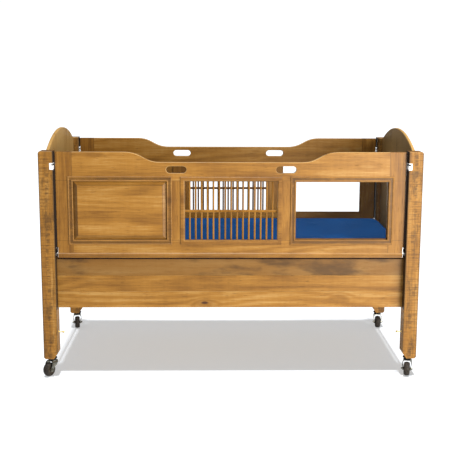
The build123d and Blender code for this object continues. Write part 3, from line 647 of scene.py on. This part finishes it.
bright_steel = hardware(
    "bright_steel", (0.56, 0.55, 0.52), (0.32, 0.31, 0.29), 1.0, 0.34, 45, 600, 0.0001, 0.5
)
dark_steel = hardware(
    "dark_steel", (0.15, 0.145, 0.14), (0.05, 0.048, 0.045), 1.0, 0.45, 40, 700, 0.0001, 0.6
)
brass = hardware("brass", (0.78, 0.60, 0.24), (0.52, 0.37, 0.12), 1.0, 0.30, 60, 900, 0.0001, 0.4)
zinc = hardware(
    "caster_zinc", (0.34, 0.33, 0.27), (0.08, 0.075, 0.06), 1.0, 0.36, 38, 500, 0.0002, 0.5
)
frame_paint = hardware(
    "frame_paint", (0.50, 0.50, 0.49), (0.43, 0.43, 0.42), 0.0, 0.45, 12, 420, 0.0002
)
white_plastic = hardware(
    "white_plastic", (0.88, 0.88, 0.86), (0.80, 0.80, 0.77), 0.0, 0.40, 30, 500, 0.0001
)
drive_plastic = hardware(
    "drive_plastic", (0.34, 0.35, 0.36), (0.26, 0.27, 0.28), 0.0, 0.50, 20, 900, 0.0003
)
dull = {"specular_ior_level": 0.15}
black_plastic = hardware(
    "black_plastic", (0.016, 0.015, 0.014), (0.008, 0.007, 0.006), 0.0, 0.50, 40, 700, 0.0002, **dull
)
wheel_hub = hardware(
    "caster_hub", (0.060, 0.045, 0.030), (0.020, 0.015, 0.010),
    0.0, 0.5, 60, 700, 0.0002, 0.3, **dull,
)
tyre_rubber = hardware(
    "caster_tyre", (0.040, 0.031, 0.023), (0.009, 0.007, 0.006), 0.0, 0.60, 90, 500, 0.0004, 0.4, **dull
)
# Near-black rubber for the dark strips that stand in for the shade in the gate gaps.
gap_shade_rubber = hardware(
    "gap_shade_rubber", (0.018, 0.009, 0.005), (0.009, 0.005, 0.003), 0.0, 0.7, 60, 600, 0.0002, **dull
)

dress(["latch_keepers"], white_plastic)
dress([f"latch_bolt_{corner}" for corner in CORNERS], dark_steel)
dress(["pivot_plates", "front_gate_pivots", "rear_gate_pivots"], bright_steel)
dress(["front_latch_barrels", "rear_latch_barrels", "deck_hinge_pins", "knee_hinge_pins"], bright_steel)
dress(["back_push_rod", "leg_push_rod"], bright_steel)
dress(["rest_pegs"], brass)
dress(["deck_frame", "back_lever", "leg_lever"], frame_paint)
dress(["lift_motors"], drive_plastic)
dress(["caster_cups"], black_plastic)
dress([f"caster_fork_{corner}" for corner in CORNERS], zinc)
dress([f"caster_wheel_{corner}" for corner in CORNERS], wheel_hub)
dress([f"caster_tyre_{corner}" for corner in CORNERS], tyre_rubber)

# %% [markdown]
# ## The mattress, first as a block
#
# A hospital mattress is a foam core in a welded vinyl cover. The cover is cut a little larger than
# the foam, so the top crowns gently, the sides fill out between the corners, and a few long soft
# creases run across it. The way to get there is the way it is made: start with a rounded block
# slightly under size, let a cloth simulation blow the cover up from inside, and stop each point
# once it has travelled as far as the foam would let it.

# %% Cut the foam block
foam_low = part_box("mattress_back")[0]
foam_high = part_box("mattress_calf")[1]
foam_low.z = deck_high + 0.001
shrink = Vector((0.006, 0.0045, 0.004))
block_low = foam_low + Vector((shrink.x, shrink.y, 0))
block_high = foam_high - shrink


def add_piece(name, mesh, *materials):
    """Turn a bmesh into an object with these materials."""
    data = bpy.data.meshes.new(name)
    mesh.to_mesh(data)
    mesh.free()
    for material in materials:
        data.materials.append(material)
    made = bpy.data.objects.new(name, data)
    bpy.context.scene.collection.objects.link(made)
    return made


def rounded_block(name, low, high, corner_radius, edge_radius):
    """Closed box with rounded upright corners and softer rolled edges."""
    mesh = bmesh.new()
    bmesh.ops.create_cube(mesh, size=1)
    for vert in mesh.verts:
        vert.co = Vector([low[i] + (vert.co[i] + 0.5) * (high[i] - low[i]) for i in range(3)])
    upright = [e for e in mesh.edges if abs(e.verts[0].co.z - e.verts[1].co.z) > 1e-4]
    bmesh.ops.bevel(mesh, geom=upright, offset=corner_radius, segments=6, affect="EDGES", profile=0.5)
    rims = [e for e in mesh.edges if abs(e.verts[0].co.z - e.verts[1].co.z) < 1e-4]
    rims = [e for e in rims if len(e.link_faces) == 2 and e.calc_face_angle() > 1.0]
    bmesh.ops.bevel(mesh, geom=rims, offset=edge_radius, segments=4, affect="EDGES", profile=0.5)
    return add_piece(name, mesh)


def only(piece):
    """Make a piece the one selected and active object."""
    bpy.ops.object.select_all(action="DESELECT")
    piece.select_set(True)
    bpy.context.view_layer.objects.active = piece


CORNER_RADIUS, EDGE_RADIUS = 0.050, 0.018
cover = rounded_block("mattress_cover", block_low, block_high, CORNER_RADIUS, EDGE_RADIUS)
only(cover)
cover.data.remesh_voxel_size = 0.015
bpy.ops.object.voxel_remesh()
print("cover block:", len(cover.data.vertices), "points")

# %% [markdown]
# ## The mattress, blown up and settled
#
# Pressure swells the cover with gravity off, because the deck carries it. The cap is in the foam:
# the sides may only come out by a few millimetres, or they would push through the side boards,
# while the top may crown more. The bottom is pressed flat by the deck.

# %% Run the cloth
SIDE_CAP, TOP_CAP, CLOTH_FRAMES = 0.0065, 0.016, 18


def blow_up(piece, pressure, frames):
    """Cloth simulation with pressure and no gravity, applied to the mesh."""
    cloth = piece.modifiers.new("Cloth", "CLOTH")
    cloth.settings.use_pressure = True
    cloth.settings.uniform_pressure_force = pressure
    cloth.settings.effector_weights.gravity = 0
    cloth.settings.tension_stiffness = 12
    cloth.settings.compression_stiffness = 12
    cloth.settings.bending_stiffness = 0.6
    cloth.point_cache.frame_start = 1
    cloth.point_cache.frame_end = frames
    for step in range(1, frames + 1):
        bpy.context.scene.frame_set(step)
    only(piece)
    bpy.ops.object.modifier_apply(modifier=cloth.name)
    bpy.context.scene.frame_set(1)


def hold_in(piece, rest):
    """Keep every point within its cap of where it started, and flat on the deck."""
    floor_z = foam_low.z + 0.0005
    for vert, start in zip(piece.data.vertices, rest):
        move = vert.co - start
        move.x = max(-SIDE_CAP, min(SIDE_CAP, move.x))
        move.y = max(-SIDE_CAP, min(SIDE_CAP, move.y))
        move.z = max(-0.002, min(TOP_CAP, move.z))
        vert.co = start + move
        vert.co.z = max(floor_z, vert.co.z)
        if start.z < floor_z + 0.004:
            vert.co.z = floor_z


rest = [vert.co.copy() for vert in cover.data.vertices]
blow_up(cover, 4.0, CLOTH_FRAMES)
hold_in(cover, rest)
only(cover)
finer = cover.modifiers.new("Subdivision", "SUBSURF")
finer.levels = 1
bpy.ops.object.modifier_apply(modifier=finer.name)
cover_top = max(vert.co.z for vert in cover.data.vertices)
print("cover settled:", len(cover.data.vertices), "points, top at", round(cover_top, 4))

# %% [markdown]
# ## Creases
#
# Loose vinyl folds into long shallow creases that start near the edges and die out towards the
# middle. Each crease here is a bent line with a rounded ridge beside a hollow, four millimetres high
# at most. Their places come from a seeded draw, so the bed creases the same way every time.

# %% Press in the creases
def crease_list(count, seed):
    """Creases as (start x, start y, direction, length, bend, width, height)."""
    draw = random.Random(seed)
    creases = []
    for number in range(count):
        side = -1 if number % 2 else 1
        x = foam_low.x + (number + draw.random()) / count * (foam_high.x - foam_low.x)
        y = side * draw.uniform(0.20, 0.40)
        direction = draw.uniform(-1.15, 1.15) + (pi / 2 if side < 0 else -pi / 2)
        length, bend = draw.uniform(0.18, 0.42), draw.uniform(-0.5, 0.5)
        width, height = draw.uniform(0.011, 0.020), draw.uniform(0.0018, 0.0040)
        creases.append((x, y, direction, length, bend, width, height))
    return creases


def crease_height(x, y, crease):
    """Height of one crease at a point of the top."""
    start_x, start_y, direction, length, bend, width, height = crease
    dx, dy = x - start_x, y - start_y
    along = dx * cos(direction) + dy * sin(direction)
    aside = dy * cos(direction) - dx * sin(direction) - bend * along * along / length
    share = along / length
    if not 0 < share < 1 or abs(aside) > 3 * width:
        return 0.0
    fade = (1 - share) * min(1.0, share * 5)
    wave = aside / width
    return height * fade * (1 - wave * wave) * 2.718 ** (-wave * wave / 2)


CREASES, CREASE_SEED = 26, 11
creases = crease_list(CREASES, CREASE_SEED)
crown_from, fade_height = foam_high.z - 0.03, 0.02
for vert in cover.data.vertices:
    rise = max(0.0, min(1.0, (vert.co.z - crown_from) / fade_height))
    if rise:
        vert.co.z += rise * sum(crease_height(vert.co.x, vert.co.y, crease) for crease in creases)
print(len(creases), "creases")

# %% [markdown]
# ## Piping
#
# The cover's panels are joined round the top and the bottom by a corded seam. The cord is a thin
# tube whose path is found on the settled cover itself: points just outside each edge are dropped
# onto the nearest part of the skin, so the piping follows every swell. It becomes part of the
# cover's mesh, so that both are cut as one.

# %% Sew on the piping
PIPE_RADIUS, PIPE_SIDES, PIPE_STEPS, START_AWAY = 0.0032, 8, 420, 0.02


def outline(steps, corner_radius):
    """Points and outward directions round the mattress's rounded rectangle."""
    half = Vector(((foam_high.x - foam_low.x) / 2, (foam_high.y - foam_low.y) / 2))
    straight = half - Vector((corner_radius, corner_radius))
    bend = corner_radius * pi / 2
    perimeter = 4 * (straight.x + straight.y) + 4 * bend
    points = []
    for number in range(steps):
        walked = perimeter * number / steps
        for quarter in range(4):
            out = Vector((round(cos(quarter * pi / 2)), round(sin(quarter * pi / 2))))
            side = Vector((-out.y, out.x))
            reach = abs(out.dot(straight))
            length = 2 * abs(side.dot(straight))
            if walked < length:
                points.append((out * (reach + corner_radius) + side * (walked - length / 2), out))
                break
            walked -= length
            if walked < bend:
                turn = walked / corner_radius
                outward = out * cos(turn) + side * sin(turn)
                points.append((out * reach + side * (length / 2) + outward * corner_radius, outward))
                break
            walked -= bend
    return points


def pipe_ring(skin, z, up):
    """Closed tube of vertices and faces that follows the skin near one rim."""
    path = []
    for point, out in outline(PIPE_STEPS, CORNER_RADIUS):
        x, y = point.x + out.x * START_AWAY, point.y + out.y * START_AWAY
        outside = Vector((x, y, z + up * START_AWAY))
        path.append(skin.find_nearest(outside)[0])
    verts, faces = [], []
    count = len(path)
    for number, centre in enumerate(path):
        ahead = (path[(number + 1) % count] - path[number - 1]).normalized()
        out = ahead.cross(Vector((0, 0, 1))).normalized()
        above = out.cross(ahead)
        for side in range(PIPE_SIDES):
            turn = 2 * pi * side / PIPE_SIDES
            verts.append(centre + (out * cos(turn) + above * sin(turn)) * PIPE_RADIUS)
            a, b = number * PIPE_SIDES, ((number + 1) % count) * PIPE_SIDES
            after = (side + 1) % PIPE_SIDES
            faces.append((a + side, b + side, b + after, a + after))
    return verts, faces


whole = bmesh.new()
whole.from_mesh(cover.data)
skin = BVHTree.FromBMesh(whole)
for z, up in ((foam_high.z - 0.004, 1), (foam_low.z + 0.010, -1)):
    ring_verts, ring_faces = pipe_ring(skin, z, up)
    made = [whole.verts.new(place) for place in ring_verts]
    for corners in ring_faces:
        whole.faces.new([made[c] for c in corners]).material_index = 1
for vert in whole.verts:
    vert.co.z = max(foam_low.z + 0.0003, vert.co.z)
bmesh.ops.recalc_face_normals(whole, faces=whole.faces)
print("piping sewn on:", len(whole.faces), "faces in the cover")

# %% [markdown]
# ## Vinyl
#
# Medical vinyl is a coated cloth: a fine pebble from the embossing roller, the faint weave of its
# backing, and a soft sheen. The blue is a shade uneven, and the piping is the same vinyl wrapped
# tight, so it looks a little darker.

# %% Vinyl finish
WEAVE = 5200


def vinyl(name, pale, deep, rough):
    """Blue coated cloth with a pebbled skin over a fine weave."""
    cloth = Recipe(name, specular_ior_level=0.015)
    place = cloth.place()
    uneven = cloth.noise(place, 5, 4, 0.55)
    pebble = cloth.cells(place, 620)
    x, y, _ = cloth.split(place)
    weft = cloth.times(*(cloth.maths("SINE", cloth.times(axis, WEAVE)) for axis in (x, y)))
    colour = cloth.ramp(uneven, (0.30, deep), (0.70, pale))
    cloth.set(base_color=colour, roughness=cloth.add(cloth.times(pebble, 0.10), rough - 0.03))
    cloth.bump(cloth.add(pebble, cloth.times(weft, 0.15)), 0.0004, 0.5)
    return cloth.material


blue_vinyl = vinyl("mattress_vinyl", (0.006, 0.052, 0.175), (0.004, 0.036, 0.125), 0.58)
blue_piping = vinyl("mattress_piping", (0.004, 0.030, 0.105), (0.003, 0.022, 0.075), 0.55)

# %% [markdown]
# ## Cutting the mattress at the still places
#
# Three hinges lie under the mattress, and a mesh can bend across one joint at a time. So the cover
# is cut where it never bends: in the middle of the seat, which stays put, and in the middle of the
# thigh section, which moves as one. The pieces meet there face to face.

# %% Cut the cover
def hinge_x(joint_name):
    """X of a joint's axis."""
    return next(joint["pos_m"][0] for joint in frame["joints"] if joint["name"] == joint_name)


def mattress_piece(name, cut_from, cut_to):
    """The part of the cover between two cuts, closed where it was cut."""
    part = whole.copy()
    for cut, keep_above in ((cut_from, True), (cut_to, False)):
        if cut is None:
            continue
        geometry = part.verts[:] + part.edges[:] + part.faces[:]
        bmesh.ops.bisect_plane(
            part,
            geom=geometry,
            plane_co=(cut, 0, 0),
            plane_no=(1, 0, 0),
            clear_inner=keep_above,
            clear_outer=not keep_above,
        )
        rim = [edge for edge in part.edges if edge.is_boundary]
        for edge in rim:
            edge.smooth = False
        bmesh.ops.holes_fill(part, edges=rim, sides=0)
    for face in part.faces:
        face.smooth = True
    made = add_piece(name, part, blue_vinyl, blue_piping)
    return made


back_x, thigh_x, knee_x = (hinge_x(name) for name in ("back_raise", "thigh_raise", "knee_bend"))
seat_cut, thigh_cut = (back_x + thigh_x) / 2, (thigh_x + knee_x) / 2

upper = mattress_piece("mattress_upper", None, seat_cut)
middle = mattress_piece("mattress_middle", seat_cut, thigh_cut)
lower = mattress_piece("mattress_lower", thigh_cut, None)
bpy.data.objects.remove(cover)
whole.free()

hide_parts("mattress_back", "mattress_seat")
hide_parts("mattress_thigh")
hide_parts("mattress_calf")
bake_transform(upper)
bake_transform(middle)
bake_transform(lower)
print("mattress in three pieces, cut at", round(seat_cut, 3), "and", round(thigh_cut, 3))

# %% [markdown]
# ## Screws and bolts
#
# What makes hardware look fastened is its fasteners. Each screw is one small lathe-turned head
# with a recess cut in it, copied to the places where the plates would be drilled. Heads that ride
# on the same body are joined into one piece, because nobody picks up a screw at a time.

# %% Fastener shapes
def lathe(profile, steps):
    """Vertices and faces of a (radius, height) profile turned about Z, closed at both ends."""
    verts, faces = [], []
    for radius, height in profile:
        for step in range(steps):
            turn = 2 * pi * step / steps
            verts.append(Vector((radius * cos(turn), radius * sin(turn), height)))
    for ring in range(len(profile) - 1):
        for step in range(steps):
            after = (step + 1) % steps
            a, b = ring * steps, (ring + 1) * steps
            faces.append((a + step, a + after, b + after, b + step))
    faces.append(tuple(reversed(range(steps))))
    faces.append(tuple(range((len(profile) - 1) * steps, len(profile) * steps)))
    return verts, faces


def dome_screw(radius):
    """Pan head with a hexagon socket, seen from +Z."""
    socket = radius * 0.42
    return [
        (radius * 0.98, -0.0006),
        (radius, radius * 0.12),
        (radius * 0.90, radius * 0.36),
        (radius * 0.68, radius * 0.50),
        (socket * 1.12, radius * 0.54),
        (socket, radius * 0.50),
        (socket * 0.96, radius * 0.14),
        (socket * 0.3, radius * 0.10),
    ]


def hex_bolt(radius):
    """Hexagon head over a round washer, seen from +Z: six sides are made by six steps."""
    return [
        (radius, -0.0005),
        (radius, radius * 0.62),
        (radius * 0.90, radius * 0.74),
        (radius * 0.2, radius * 0.76),
    ]


def fasteners(name, body, material, profile, steps, places):
    """One piece made of equal heads. places are (point, outward direction)."""
    mesh = bmesh.new()
    head_verts, head_faces = lathe(profile, steps)
    for point, outward in places:
        turn = Vector(outward).to_track_quat("Z", "Y").to_matrix()
        made = [mesh.verts.new(turn @ vert + Vector(point)) for vert in head_verts]
        for corners in head_faces:
            mesh.faces.new([made[c] for c in corners])
    bmesh.ops.recalc_face_normals(mesh, faces=mesh.faces)
    piece = add_piece(name, mesh, material)
    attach(piece, body)
    print(f"{name}: {len(places)} heads on {body}")
    return piece


# %% [markdown]
# The places come from the plates' own boxes: two screws in each pivot plate on a post, two in each
# steel plate on a gate's end, one in each white latch block, and two bolts in each bracket of the
# deck frame.

# %% Fasten everything
plate_high = low_high("front_gate_pivots", Z)[1]
plate_back = low_high("front_gate_pivots", Y)[1]
plate_face = gate_end - 0.001
from_back, from_top, screw_pitch = 0.0075, 0.005, 0.009
plate_screw, keeper_screw, bracket_bolt = dome_screw(0.0026), dome_screw(0.0032), hex_bolt(0.0065)
ROUND, HEXAGON = 20, 6
for side, sy in SIDES.items():
    places = [
        ((sx * plate_face, sy * (-plate_back + from_back), plate_high - drop), (sx, 0, 0))
        for sx in ENDS.values()
        for drop in (from_top, from_top + screw_pitch)
    ]
    name = f"{side}_gate_plate_screws"
    fasteners(name, f"{side}_gate", bright_steel, plate_screw, ROUND, places)

post_plate_low, post_plate_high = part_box("pivot_plates")
pin_y = abs(next(joint["pos_m"][1] for joint in frame["joints"] if joint["name"] == "front_gate_fold"))
screw_inset = 0.008
post_plate_places = [
    ((sx * post_low.x, sy * pin_y, z), (-sx, 0, 0))
    for sx, sy in CORNERS.values()
    for z in (post_plate_low.z + screw_inset, post_plate_high.z - screw_inset)
]
fasteners(
    "post_plate_screws", "frame", bright_steel, plate_screw, ROUND, post_plate_places
)

keeper_low, keeper_high = low_high("latch_keepers", Z)
keeper_width, keeper_screw_rise = 0.019, 0.0095
keeper_face = low_high("latch_keepers", Y)[1]
keeper_x, keeper_screw_z = post_low.x + keeper_width / 2, keeper_low + keeper_screw_rise
keeper_places = [
    ((sx * keeper_x, sy * keeper_face, keeper_screw_z), (0, sy, 0))
    for sx, sy in CORNERS.values()
]
fasteners("keeper_screws", "frame", bright_steel, keeper_screw, ROUND, keeper_places)

frame_low, frame_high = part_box("deck_frame")
bracket_thick, bracket_half, bolt_rise, bolt_spread = 0.004, 0.022, 0.022, 0.012
bracket_x, bracket_y = frame_high.x - bracket_thick, frame_high.y - bracket_half
bolt_z = frame_low.z + bolt_rise
bracket_places = [
    ((sx * bracket_x, sy * (bracket_y + shift), bolt_z), (-sx, 0, 0))
    for sx, sy in CORNERS.values()
    for shift in (-bolt_spread, bolt_spread)
]
fasteners("bracket_bolts", "frame", bright_steel, bracket_bolt, HEXAGON, bracket_places)

# %% [markdown]
# ## Dark strips in the gate gaps
#
# Between a closed gate and its post there is a gap for the latch. A soft dark strip with a rolled
# lip is stuck to the post there as painted shade: it keeps the gap dark, so that no light and no
# finger gets through. It is a short profile drawn out along Z, in two lengths that leave the latch
# block free, and it stops just clear of the gate's swing.

# %% Stick on the dark gap strips
def gap_shade_strips(name):
    """One piece made of two lengths of rolled strip on each post."""
    clearance, foot, behind, spare, arc_steps = 0.0013, 0.006, 0.004, 0.003, 8
    lip = post_low.x - gate_end - clearance
    turns = [pi * step / arc_steps for step in range(1, arc_steps)]
    profile = [(0, -foot), (lip * 0.4, -foot)]
    profile += [(lip * (0.4 + 0.6 * sin(turn)), -foot * cos(turn)) for turn in turns]
    profile += [(lip * 0.4, foot), (0, foot)]
    strip_y = gate_outer_face + foot + behind
    spans = ((plate_high + spare, keeper_low - spare), (keeper_high + spare, gate_high - spare))
    mesh = bmesh.new()
    for sx, sy in CORNERS.values():
        for low, high in spans:
            rings = [
                [
                    mesh.verts.new((sx * (post_low.x - depth), sy * (strip_y + aside), z))
                    for depth, aside in profile
                ]
                for z in (low, high)
            ]
            for here in range(len(profile)):
                after = (here + 1) % len(profile)
                mesh.faces.new((rings[0][here], rings[0][after], rings[1][after], rings[1][here]))
            for ring in rings:
                mesh.faces.new(ring)
    bmesh.ops.recalc_face_normals(mesh, faces=mesh.faces)
    piece = add_piece(name, mesh, gap_shade_rubber)
    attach(piece, "frame")
    print(f"{name}: {len(CORNERS) * len(spans)} lengths")


gap_shade_strips("gate_gap_shade_strips")
